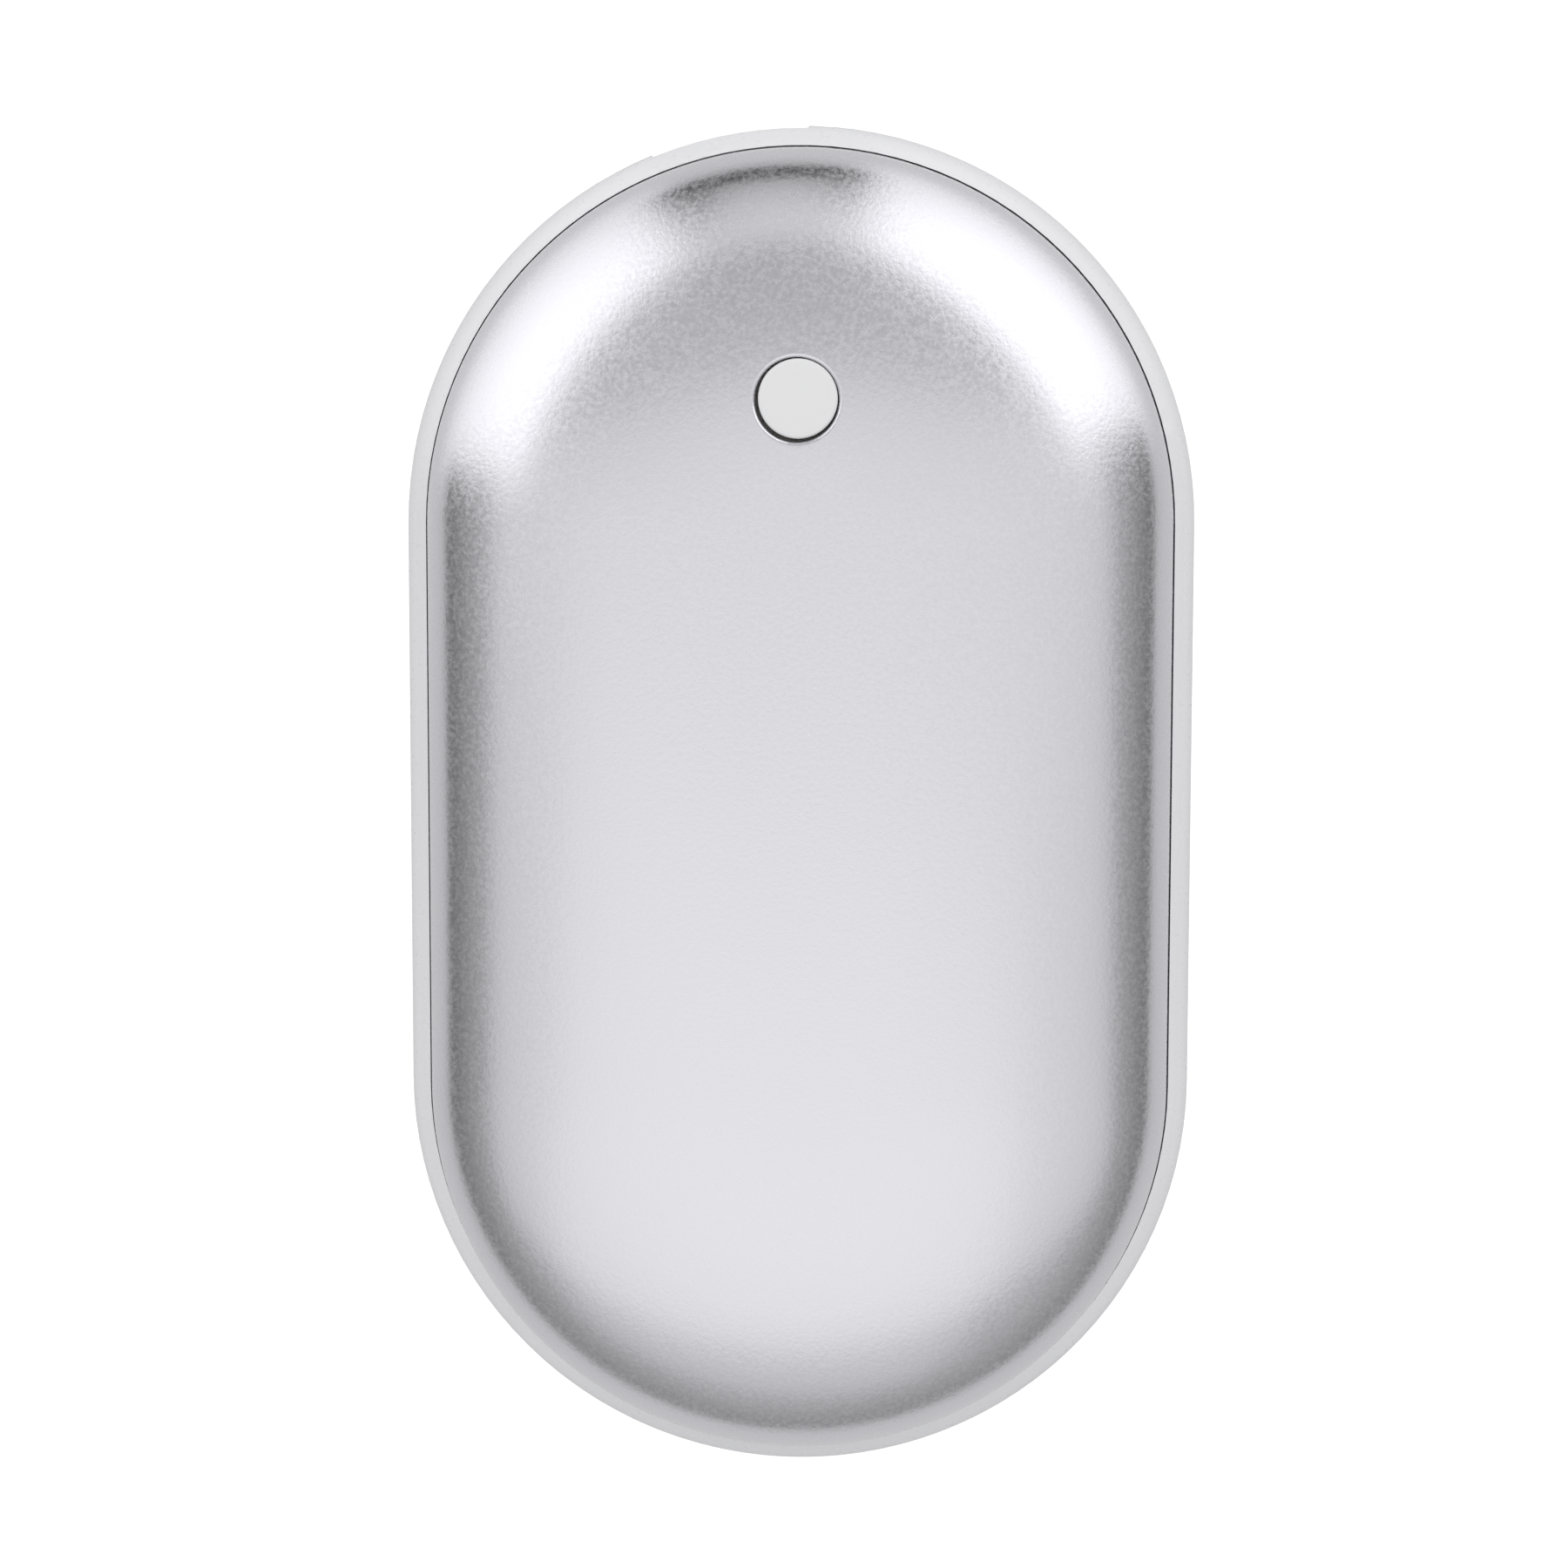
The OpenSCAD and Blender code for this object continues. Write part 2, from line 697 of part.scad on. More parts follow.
module charging_socket_shell() {
    flare_l = 0.4;
    seated("lightgray") difference() {
        union() {
            charge_prism(0, charge_mouth - charge_l, charge_mouth);
            charge_prism(charge_flare, charge_mouth - flare_l, charge_mouth);
        }
        charge_prism(-charge_sheet, charge_mouth - charge_l + charge_sheet, charge_mouth + over);
        charge_prism(charge_flare - charge_sheet + 0.1, charge_mouth - 0.15, charge_mouth + over);
    }
}

charge_back = charge_mouth - charge_l + charge_sheet;

module charge_contact_strips() {
    for (i = [-2 : 2]) translate([charge_x + i * 0.65 - 0.15, charge_back + 0.6, charge_z + 0.1])
        cube([0.3, 3.4, 0.15]);
}

module charging_socket_insulator() {
    seated("black") difference() {
        union() {
            charge_prism(-charge_sheet - ease, charge_back, charge_back + 1.5);
            translate([charge_x - 1.85, charge_back, charge_z + 0.1]) cube([3.7, 4.4, 0.6]);
        }
        charge_contact_strips();
    }
}

module charging_socket_contacts() {
    seated("gold") charge_contact_strips();
}

// Four lights on the board, each under a pin of the light pipe
function light_y(x) = arc_y(board_r - 2, x);

module indicator_leds() {
    seated("azure") for (x = light_xs) translate([x - 0.5, light_y(x) - 0.8, board_top]) {
        cube([1, 1.6, led_h * 0.6]);
        translate([0.1, 0.3, 0]) cube([0.8, 1, led_h]);
    }
}

module light_pipe() {
    bar_z = board_top + led_h + 0.05;
    seated("aliceblue") {
        translate([0, end_y, bar_z]) intersection() {
            difference() {
                cylinder(r = board_r - 0.6, h = pin_r + 0.3 - bar_z);
                translate([0, 0, -over]) cylinder(r = board_r - 3.4, h = mid_z);
            }
            translate([light_x - 0.85, 0, -over]) cube([3 * light_pitch + 1.7, body_w, mid_z]);
        }
        intersection() {
            for (x = light_xs) translate([x, light_y(x), 0]) rotate([-90, 0, 0])
                cylinder(r = pin_r, h = body_w / 4);
            translate([0, end_y, -over]) cylinder(r = body_w / 2 - 0.1, h = 2 * over);
        }
    }
}

module chip(x, y, w, l, h, pins) {
    pitch = l / pins;
    translate([x, y, board_top]) {
        translate([-w / 2, -l / 2, 0.1]) cube([w, l, h - 0.1]);
        for (s = [-1, 1], i = [0 : pins - 1]) translate([s * (w / 2 + 0.35) - 0.45, -l / 2 + pitch * (i + 0.5) - 0.2, 0])
            cube([0.9, 0.4, 0.3]);
    }
}

module control_chip() {
    seated("black") chip(-switch_w / 2 - 6.6, output_back - 3.6, 3.9, 4.9, 1.5, 4);
}

module power_transistors() {
    seated("black") for (y = [-2.2, 1.4]) chip(switch_w / 2 + 3.4, button_y + y, 1.4, 2.9, 1.1, 2);
}

module boost_inductor() {
    size = 5.6;
    seated("slategray") translate([output_x + output_w / 2 + 6.25, button_y + 6.8, board_top]) {
        linear_extrude(height = 0.5) square([size, size], center = true);
        cylinder(r = size / 2 - 0.7, h = 3);
        translate([0, 0, 2.4]) linear_extrude(height = 0.6) square([size, size], center = true);
        for (x = [-1, 1], y = [-1, 1]) translate([x * (size / 2 - 0.5) - 0.5, y * (size / 2 - 0.5) - 0.5, 0])
            cube([1, 1, 3]);
    }
}

// A chip part lies along X, with a cap at each end
module chip_part(p, l, w, h) {
    translate([p[0] - l / 2, p[1] - w / 2, board_top]) {
        translate([0.1, 0.05, 0.05]) cube([l - 0.2, w - 0.1, h - 0.1]);
        for (x = [0, l - 0.4]) translate([x, 0, 0]) cube([0.4, w, h]);
    }
}

module chip_capacitors() {
    seated("burlywood") for (i = [0 : 3])
        chip_part([board_half_w - 5, button_y + 0.4 + i * 2], 2, 1.25, 1.25);
}

module chip_resistors() {
    side = output_x - output_w / 2;
    seated("black") for (x = [1.3, 3.7], i = [0 : 2])
        chip_part([side - x, output_back + 0.6 + i * 1.6], 1.6, 0.8, 0.45);
}

// One cell, standing at the origin with its positive end up
module cell_can() {
    groove = can_r - 0.7;
    rotate_extrude() polygon([[0, 0], [can_r - 0.5, 0], [can_r, 0.5], [can_r, cell_l - 4.2],
        [groove, cell_l - 3.7], [groove, cell_l - 3.2], [can_r, cell_l - 2.7], [can_r, cell_l - 1.1],
        [can_r - 0.4, cell_l - 0.7], [can_r - 1.6, cell_l - 0.7], [can_r - 1.6, cell_l - 2.4],
        [0, cell_l - 2.4]]);
}

module cell_seal() {
    rotate_extrude() translate([can_r - 2.1, cell_l - 2.4]) square([0.5, 1.6]);
}

module cell_cap() {
    rim = can_r - 2.1;
    rotate_extrude() polygon([[0, cell_l - 2.4], [rim, cell_l - 2.4], [rim, cell_l - 1.6],
        [3.4, cell_l - 1.6], [3, cell_l], [0, cell_l]]);
}

module cell_sleeve() {
    lip = 1.4;
    rotate_extrude() difference() {
        translate([cell_r - lip, -sleeve_t]) square([lip, cell_l - 0.7 + 2 * sleeve_t + ease]);
        translate([cell_r - lip - over, 0]) square([lip + over - sleeve_t, cell_l - 0.7 + ease]);
    }
}

module at_cell(side) {
    translate([side * cell_x, cell_y0, 0]) rotate([-90, 0, 0]) children();
}

// Strip over the ends of both cells, split at each weld. Dimples reach past a sleeve's lip.
module cell_strip(dimple) {
    half = cell_x + 3;
    difference() {
        union() {
            translate([-half, 0, -2.5]) cube([2 * half, strip_t, 5]);
            for (s = [-1, 1]) translate([s * cell_x - 2, 0, -2]) cube([4, strip_t + dimple, 4]);
        }
        for (s = [-1, 1]) translate([s * cell_x - 0.3, -over, -1.5]) cube([0.6, 3 * over, 4 + over]);
    }
}

module positive_strip() {
    seated("lightgray") translate([0, cell_y1, 0]) cell_strip(0);
}

module negative_strip() {
    seated("lightgray") translate([0, negative_y, 0]) cell_strip(cell_y0 - negative_y - strip_t);
}

// Points along a wire, with each corner rounded off from bend away
function bent(p, bend) = [
    p[0],
    for (i = [1 : len(p) - 2], t = [0 : 0.25 : 1])
        let (a = p[i] + bend * unit(p[i - 1] - p[i]), b = p[i] + bend * unit(p[i + 1] - p[i]))
            (1 - t) * (1 - t) * a + 2 * t * (1 - t) * p[i] + t * t * b,
    p[len(p) - 1]
];

// A round wire through the points. Its sides are set out from a direction that it never takes.
module wire(route, d, bend, off) {
    sides = 8;
    p = bent(route, bend);
    n = len(p);
    ring = [for (i = [0 : n - 1])
        let (t = unit(p[min(i + 1, n - 1)] - p[max(i - 1, 0)]), u = unit(cross(t, off)), v = cross(u, t))
            [for (k = [0 : sides - 1]) p[i] + d / 2 * (cos(k * 360 / sides) * u + sin(k * 360 / sides) * v)]];
    polyhedron(
        points = [for (r = ring, q = r) q],
        faces = [
            [for (k = [sides - 1 : -1 : 0]) k],
            [for (k = [0 : sides - 1]) (n - 1) * sides + k],
            for (i = [0 : n - 2], k = [0 : sides - 1])
                let (a = i * sides + k, b = i * sides + (k + 1) % sides)
                    each [[a, b, a + sides], [b, b + sides, a + sides]]
        ],
        convexity = 4);
}

// From the positive strip over the board's back edge to a pad on top
module positive_lead() {
    x = 4.6;
    y0 = cell_y1 + strip_t + ease;
    seated("red") wire([[x, y0, 1.4], [x, y0 + wire_d, 1.4], [x, board_back + 1.2, -0.4],
        [x, board_back + 1.2, board_top + ease]], wire_d * 0.8, 0.5, [1, 0, 0]);
}

// From the negative strip through the valley under the cells to a pad under the board
module negative_lead() {
    y = negative_y - wire_d / 2 - ease;
    end = board_back + wire_d + 0.6;
    seated("black") wire([[0, y, -0.4], [0, y, -valley_z], [0, board_back - 1.6, -valley_z],
        [0, end, board_bottom - 1.3], [0, end, board_bottom - ease]], wire_d, 0.6, [1, 0, 0]);
}

module heater_leads(pad_z) {
    end = board_back + 1.2;
    for (s = [-1, 1]) wire([[s * 1.5, lead_slot_y + 1, mid_z - liner_out],
        [s * 1.5, lead_slot_y + 2.6, mid_z - liner_out - 1.2], [s * 1.5, lead_y, mid_z - liner_in - 2],
        [s * 1.5, lead_y, pad_z + 2.6], [s * 1.5, end, pad_z + 1.2], [s * 1.5, end, pad_z + ease]],
        0.9, 0.45, [1, 0, 0]);
}

module front_heater_leads() {
    seated("white") heater_leads(board_top);
}

module rear_heater_leads() {
    seated("white") mirror([0, 0, 1]) heater_leads(-board_bottom);
}

// Bead in the valley over the cells, with two leads to the board
module thermistor() {
    bead_y = rib_ys[rib_count - 1] - 6;
    end = board_back + 1;
    seated("black") {
        translate([0, bead_y, valley_z - 0.1]) sphere(0.9);
        for (s = [-1, 1]) wire([[s * 0.4, bead_y, valley_z], [s * 0.4, lead_y, valley_z],
            [s * 0.4, lead_y, board_top + 2.4], [s * 0.4, end, board_top + 1.2],
            [s * 0.4, end, board_top + ease]], 0.5, 0.5, [1, 0, 0]);
    }
}

// Pan head screw, hanging head up from the origin, with a crossed recess
module screw(d, length, r, h) {
    translate([0, 0, -length]) cylinder(r = d / 2, h = length);
    difference() {
        union() {
            cylinder(r = r, h = h / 2);
            translate([0, 0, h / 2]) cylinder(r1 = r, r2 = r * 0.7, h = h / 2);
        }
        for (turn = [0, 90]) rotate([0, 0, turn]) translate([-r * 0.5, -d * 0.1, h * 0.4])
            cube([r, d * 0.2, h]);
    }
}

module case_screws() {
    seated("dimgray") for (p = screw_places) translate([p[0], p[1], head_seat]) mirror([0, 0, 1])
        screw(screw_d, screw_l, head_r, head_h);
}

module board_screws() {
    seated("dimgray") for (p = board_screw_places) translate([p[0], p[1], board_top])
        screw(board_screw_d, board_screw_l, board_screw_d * 0.9, board_screw_d * 0.6);
}

front_shell();
rear_shell();
middle_band();
front_liner();
rear_liner();
front_bond_tape();
rear_bond_tape();
front_heater_film();
rear_heater_film();
front_heater_track();
rear_heater_track();
front_foam();
rear_foam();
button_cap();
switch_body();
switch_cover();
switch_plunger();
switch_dome();
main_board();
output_socket_shell();
output_socket_insulator();
output_socket_contacts();
charging_socket_shell();
charging_socket_insulator();
charging_socket_contacts();
indicator_leds();
light_pipe();
control_chip();
power_transistors();
boost_inductor();
chip_capacitors();
chip_resistors();
seated("silver") at_cell(-1) cell_can();  // left_cell_can
seated("silver") at_cell(1) cell_can();  // right_cell_can
seated("white") at_cell(-1) cell_seal();  // left_cell_seal
seated("white") at_cell(1) cell_seal();  // right_cell_seal
seated("silver") at_cell(-1) cell_cap();  // left_cell_cap
seated("silver") at_cell(1) cell_cap();  // right_cell_cap
seated("royalblue") at_cell(-1) cell_sleeve();  // left_cell_sleeve
seated("royalblue") at_cell(1) cell_sleeve();  // right_cell_sleeve
positive_strip();
negative_strip();
positive_lead();
negative_lead();
front_heater_leads();
rear_heater_leads();
thermistor();
case_screws();
board_screws();
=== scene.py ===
"""Rechargeable hand warmer, dressed for its photograph: bead-blasted aluminium shells round a satin
middle band, seen from nearly straight above on a white table. Lengths are in metres, unless a name
or a comment says millimetres."""
import bisect
import json
import math

import bmesh
import bpy
from mathutils import Matrix, Vector


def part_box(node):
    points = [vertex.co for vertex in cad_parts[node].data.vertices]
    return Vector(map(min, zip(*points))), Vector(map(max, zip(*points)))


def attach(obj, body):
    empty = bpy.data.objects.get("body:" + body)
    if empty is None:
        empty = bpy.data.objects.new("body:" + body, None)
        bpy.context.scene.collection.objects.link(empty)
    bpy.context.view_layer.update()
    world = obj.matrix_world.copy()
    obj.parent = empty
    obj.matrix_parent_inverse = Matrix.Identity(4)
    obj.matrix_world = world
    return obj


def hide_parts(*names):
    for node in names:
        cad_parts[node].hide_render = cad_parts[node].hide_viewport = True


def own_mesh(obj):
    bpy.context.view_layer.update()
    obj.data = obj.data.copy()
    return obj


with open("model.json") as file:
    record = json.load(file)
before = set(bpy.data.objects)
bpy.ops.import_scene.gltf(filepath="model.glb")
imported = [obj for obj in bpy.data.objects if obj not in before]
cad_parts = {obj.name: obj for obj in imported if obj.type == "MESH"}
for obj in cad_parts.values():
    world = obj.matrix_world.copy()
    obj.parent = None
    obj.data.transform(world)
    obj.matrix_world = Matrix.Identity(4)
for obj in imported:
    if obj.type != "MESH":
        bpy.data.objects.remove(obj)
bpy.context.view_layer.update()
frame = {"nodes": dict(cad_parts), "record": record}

MM = 0.001

# The driving sizes, in millimetres. Outside: the body, its band and its two sheets
BODY_W, BODY_L = (2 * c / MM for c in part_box("middle_band")[1][:2])
BODY_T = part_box("front_shell")[1][2] / MM
BAND_H = 8.0
BAND_PROUD = 1.9
SKIN_T = 0.8
DRAFT = math.radians(5)
SKIRT_H = 0.9
REST_W = 8.6
SHELL_SEAT = 0.6
# How far the cut edge of a shell stands out of line with its wall, into the reveal
FOOT_FLARE = 0.08
# The button, and how far its cap sits off the middle of the hole, towards +X and towards +Y
BUTTON_D = 6.1
BUTTON_GAP = 0.13
BUTTON_FROM_END = 21.8
BUTTON_PROUD = 0.15
BUTTON_OFF = 0.085
# The flange under the liner: how far it lies below the sheet, and its thickness
FLANGE_DROP = 2.2
FLANGE_T = 0.8

END_Y = (BODY_L - BODY_W) / 2
MID_Z = BODY_T / 2
SHELL_R = BODY_W / 2 - BAND_PROUD
HOLE_R = BUTTON_D / 2 + BUTTON_GAP
BUTTON_Y = BODY_L / 2 - BUTTON_FROM_END

# Steps round one end, and along one side, of every piece that follows the outline
END_STEPS = 120
SIDE_STEPS = 60


def lean(angle):
    """The direction in a section that stands square on a slope of that angle."""
    return Vector((math.sin(angle), math.cos(angle)))


# Half section of a shell: from the flat over the crown and shoulder down to the drawn wall, with a
# bend that tightens steadily. Pairs of slope in degrees and radius of the bend there, which holds
# until the profile is fitted to its width and height.
BENDS = [(0, 88), (8, 63), (16, 33), (26, 16), (40, 8.9), (60, 4.4), (85, 4.9)]
WALL_SLOPE = math.pi / 2 - DRAFT
WALL_TOP = Vector((SHELL_R - SKIRT_H * math.tan(DRAFT), BAND_H / 2 + SKIRT_H))
SECTION_STEPS = 170
WALL_STEPS = 3


def bend_radius(slope):
    """Radius of the bend at a slope, on a smooth fall from each pair to the next."""
    for (a, ra), (b, rb) in zip(BENDS, BENDS[1:]):
        if math.degrees(slope) <= b:
            return ra * (rb / ra) ** ((math.degrees(slope) - a) / (b - a))
    return BENDS[-1][1]


def dome_profile():
    """Slopes, distances from the spine and heights over the middle, from the flat to the wall."""
    slopes = [WALL_SLOPE * i / SECTION_STEPS for i in range(SECTION_STEPS + 1)]
    out = [0.0]
    down = [0.0]
    for a, b in zip(slopes, slopes[1:]):
        step = bend_radius((a + b) / 2) * (b - a)
        out.append(out[-1] + step * math.cos((a + b) / 2))
        down.append(down[-1] + step * math.sin((a + b) / 2))
    wide = (WALL_TOP.x - REST_W / 2) / out[-1]
    tall = (MID_Z - WALL_TOP.y) / down[-1]
    return slopes, [REST_W / 2 + d * wide for d in out], [MID_Z - d * tall for d in down]


SLOPES, REACHES, HEIGHTS = dome_profile()


def section(inset, first):
    """Points (distance from the spine, height over the middle) from the crown to the band, at every
    second step of the profile."""
    points = []
    for slope, reach, height in list(zip(SLOPES, REACHES, HEIGHTS))[::2]:
        p = Vector((reach, height)) - inset * lean(slope)
        if p.x > first:
            points.append(p)
    foot = points[-1]
    drop = foot.y - (BAND_H / 2 - SHELL_SEAT)
    for i in range(1, WALL_STEPS + 1):
        p = foot + Vector((math.tan(DRAFT), -1)) * drop * i / WALL_STEPS
        if p.y < BAND_H / 2:
            p.x = max(p.x, SHELL_R - inset + FOOT_FLARE)
        points.append(p)
    return points


def crown_height(x, y, inset=0.0):
    """Height over the middle of the crown, above a place in plan."""
    d = math.hypot(x, max(abs(y) - END_Y, 0))
    if d <= REACHES[0]:
        return MID_Z - inset
    i = bisect.bisect(REACHES, d) - 1
    share = (d - REACHES[i]) / (REACHES[i + 1] - REACHES[i])
    height = HEIGHTS[i] + (HEIGHTS[i + 1] - HEIGHTS[i]) * share
    return height - inset / math.cos(SLOPES[i] + (SLOPES[i + 1] - SLOPES[i]) * share)


def stations():
    """Feet on the spine and the outward directions from them, once round the outline."""
    out = []
    for end in (1, -1):
        for i in range(END_STEPS):
            a = math.pi * (i / END_STEPS + (0 if end > 0 else 1))
            out.append((Vector((0, end * END_Y)), Vector((math.cos(a), math.sin(a)))))
        for i in range(SIDE_STEPS):
            out.append((Vector((0, end * END_Y * (1 - 2 * i / SIDE_STEPS))), Vector((-end, 0))))
    return out


OUTLINE = stations()


def outline_loop(distance, height):
    """The outline at a distance from the spine, all at one height."""
    return [(foot + distance * out).to_3d() + Vector((0, 0, height)) for foot, out in OUTLINE]


def loops_mesh(name, loops, material, body, closed=True, flip=False):
    """A piece from loops of as many points each, in millimetres about the middle plane."""
    bm = bmesh.new()
    rings = [[bm.verts.new((p.x * MM, p.y * MM, ((-p.z if flip else p.z) + MID_Z) * MM)) for p in loop]
             for loop in loops]
    count = len(loops[0])
    pairs = list(zip(rings, rings[1:]))
    if closed:
        pairs.append((rings[-1], rings[0]))
    for a, b in pairs:
        for i in range(count):
            bm.faces.new((a[i], a[(i + 1) % count], b[(i + 1) % count], b[i]))
    bmesh.ops.remove_doubles(bm, verts=bm.verts, dist=1e-6)
    bmesh.ops.recalc_face_normals(bm, faces=bm.faces)
    mesh = bpy.data.meshes.new(name)
    bm.to_mesh(mesh)
    bm.free()
    mesh.polygons.foreach_set("use_smooth", [True] * len(mesh.polygons))
    mesh.materials.append(material)
    piece = bpy.data.objects.new(name, mesh)
    bpy.context.scene.collection.objects.link(piece)
    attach(piece, body)
    return piece


# Materials

# Width of the broad clouds of tone, in millimetres, and the span in which a noise nearly always lies
CLOUD_W = 9
NOISE_SPAN = (0.35, 0.65)


def linear(hex_colour):
    """A linear colour from an sRGB hex value."""
    parts = [int(hex_colour[i:i + 2], 16) / 255 for i in (1, 3, 5)]
    return [p / 12.92 if p <= 0.04045 else ((p + 0.055) / 1.055) ** 2.4 for p in parts] + [1.0]


def add(tree, kind, values=None, links=None, **settings):
    """A node with its settings, its socket values and its incoming links."""
    node = tree.nodes.new(kind)
    for key, value in settings.items():
        setattr(node, key, value)
    for key, value in (values or {}).items():
        node.inputs[key].default_value = value
    for key, source in (links or {}).items():
        tree.links.new(source, node.inputs[key])
    return node


def finish(name, colour, roughness, grain_mm, relief_mm, metallic=0.0, drift=0.04, spread=0.1,
           speckled=False, **sockets):
    """A finish with a grain of that width: its relief's height, its spread of roughness, and a drift
    of tone that is in broad clouds, or in the grain itself where it is speckled."""
    material = bpy.data.materials.new(name)
    material.use_nodes = True
    tree = material.node_tree
    shader = tree.nodes["Principled BSDF"]
    shader.inputs["Metallic"].default_value = metallic
    for key, value in sockets.items():
        shader.inputs[key.replace("_", " ")].default_value = value
    place = add(tree, "ShaderNodeTexCoord").outputs["Object"]
    grain = add(tree, "ShaderNodeTexNoise", {"Scale": 1 / (grain_mm * MM), "Detail": 2.0, "Roughness": 0.6},
                {"Vector": place})
    cloud = add(tree, "ShaderNodeTexNoise", {"Scale": 1 / (CLOUD_W * MM), "Detail": 2.0}, {"Vector": place})
    base = linear(colour)
    tone = add(tree, "ShaderNodeMix", {}, {"Factor": (grain if speckled else cloud).outputs["Fac"]},
               data_type="RGBA")
    tone.inputs["A"].default_value = [c * (1 - drift) for c in base[:3]] + [1.0]
    tone.inputs["B"].default_value = [min(c * (1 + drift), 1.0) for c in base[:3]] + [1.0]
    tree.links.new(tone.outputs["Result"], shader.inputs["Base Color"])
    rough = add(tree, "ShaderNodeMapRange",
                {"From Min": NOISE_SPAN[0], "From Max": NOISE_SPAN[1],
                 "To Min": roughness * (1 - spread), "To Max": roughness * (1 + spread)},
                {"Value": grain.outputs["Fac"]})
    tree.links.new(rough.outputs["Result"], shader.inputs["Roughness"])
    relief = add(tree, "ShaderNodeBump", {"Strength": 1.0, "Distance": relief_mm * MM},
                 {"Height": grain.outputs["Fac"]})
    tree.links.new(relief.outputs["Normal"], shader.inputs["Normal"])
    return material


# Aluminium sheet, drawn, bead blasted and clear anodised: a satin metal with a grain 0.36 mm wide, a
# little rougher in one spot than in the next, which sparkles where the light falls off.
blasted = finish("anodised_aluminium_blasted", "#DEDDE2", 0.25, 0.36, 0.011, metallic=1.0, drift=0.075,
                 spread=0.2, speckled=True)
# Moulded ABS with a satin clear lacquer: even, pale and softly shiny
band_abs = finish("satin_abs_moulded", "#F6F6F9", 0.3, 0.6, 0.0002, drift=0.01, Coat_Weight=0.4,
                  Coat_Roughness=0.2)
button_abs = finish("satin_abs_button", "#EDEDEE", 0.45, 0.3, 0.001, drift=0.01)
FINISHES = {
    "shell": blasted,
    "band": band_abs,
    "button": button_abs,
    "liner": finish("abs_moulded_natural", "#E8E4D8", 0.5, 0.4, 0.003),
    "tape": finish("thermal_acrylic_tape", "#D8CFA8", 0.6, 0.8, 0.004),
    "film": finish("polyimide_film_amber", "#C87820", 0.22, 1.5, 0.001, Coat_Weight=0.5),
    "copper": finish("copper_etched", "#C8825A", 0.3, 0.1, 0.001, metallic=1.0),
    "foam": finish("polyethylene_foam_closed_cell", "#2A2A2C", 0.9, 0.35, 0.06),
    "black_plastic": finish("nylon_moulded_black", "#1C1C1E", 0.5, 0.2, 0.002),
    "plated_steel": finish("steel_nickel_plated", "#C9C7C2", 0.25, 0.15, 0.001, metallic=1.0),
    "board": finish("glass_epoxy_solder_mask", "#14502A", 0.3, 0.5, 0.002, Coat_Weight=0.4),
    "white_plastic": finish("nylon_moulded_white", "#E6E4DC", 0.45, 0.2, 0.002),
    "gold": finish("bronze_gold_flashed", "#D9B25E", 0.22, 0.1, 0.0005, metallic=1.0),
    "clear_plastic": finish("polycarbonate_diffusing", "#EDF0F2", 0.2, 0.5, 0.001,
                            Transmission_Weight=0.6, IOR=1.585),
    "light": finish("led_resin_milky", "#E8EEDC", 0.25, 0.2, 0.0005),
    "ceramic": finish("ceramic_fired_tan", "#A58A63", 0.55, 0.08, 0.002),
    "sleeve": finish("pvc_sleeve_shrunk_blue", "#2C5BA8", 0.25, 2.5, 0.004, Coat_Weight=0.3),
    "red_wire": finish("silicone_insulation_red", "#B02020", 0.45, 0.2, 0.001),
    "black_wire": finish("silicone_insulation_black", "#202022", 0.45, 0.2, 0.001),
    "white_wire": finish("silicone_insulation_white", "#E4E2DC", 0.45, 0.2, 0.001),
    "black_steel": finish("steel_black_zinc", "#2C2C30", 0.35, 0.1, 0.001, metallic=1.0),
}
SLOTS = {part["node"]: part["material_slot"] for part in frame["record"]["subparts"]}
for node, slot in SLOTS.items():
    for place in frame["nodes"][node].material_slots:
        place.material = FINISHES[slot]


def stand_in(piece, node):
    """Hides the node that a piece stands in for."""
    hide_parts(node)


# Shells

def rays(ring_r, reach, share, inset):
    """A loop part of the way from a ring round the button out to the outline at a distance."""
    centre = Vector((0, BUTTON_Y))
    loop = []
    for foot, out in OUTLINE:
        ray = foot + reach * out - centre
        p = centre + ray.normalized() * (ring_r + (ray.length - ring_r) * share)
        loop.append(Vector((p.x, p.y, crown_height(p.x, p.y, inset))))
    return loop


def front_shell():
    """The front sheet, with a rolled edge round the hole for the button."""
    reach = 16.0
    roll = 0.34
    roll_steps = 8
    steps = 48
    crowding = 1.4
    loops = []
    for i in range(roll_steps + 1):
        turn = math.pi / 2 * i / roll_steps
        ring = rays(HOLE_R + roll * (1 - math.sin(turn)), reach, 0, 0)
        loops.insert(0, [p - Vector((0, 0, roll * (1 - math.cos(turn)))) for p in ring])
    for i in range(1, steps):
        loops.append(rays(HOLE_R + roll, reach, (i / steps) ** crowding, 0))
    loops += [outline_loop(p.x, p.y) for p in section(0, reach + 0.01)]
    loops += [outline_loop(p.x, p.y) for p in reversed(section(SKIN_T, reach + 0.01))]
    for i in range(steps, -1, -2):
        loops.append(rays(HOLE_R, reach, i / steps, SKIN_T))
    return loops_mesh("front_shell_sheet", loops, blasted, "housing")


def rear_shell():
    """The rear sheet, with the flat that the object rests on."""
    loops = [outline_loop(d, MID_Z) for d in (0, REST_W / 4, REST_W / 2)]
    loops += [outline_loop(p.x, p.y) for p in section(0, REST_W / 2 + 0.01)]
    loops += [outline_loop(p.x, p.y) for p in reversed(section(SKIN_T, REST_W / 2 + 0.01))]
    loops += [outline_loop(d, MID_Z - SKIN_T) for d in (REST_W / 2, REST_W / 4, 0)]
    return loops_mesh("rear_shell_sheet", loops, blasted, "housing", closed=False, flip=True)


stand_in(front_shell(), "front_shell")
stand_in(rear_shell(), "rear_shell")


# Button

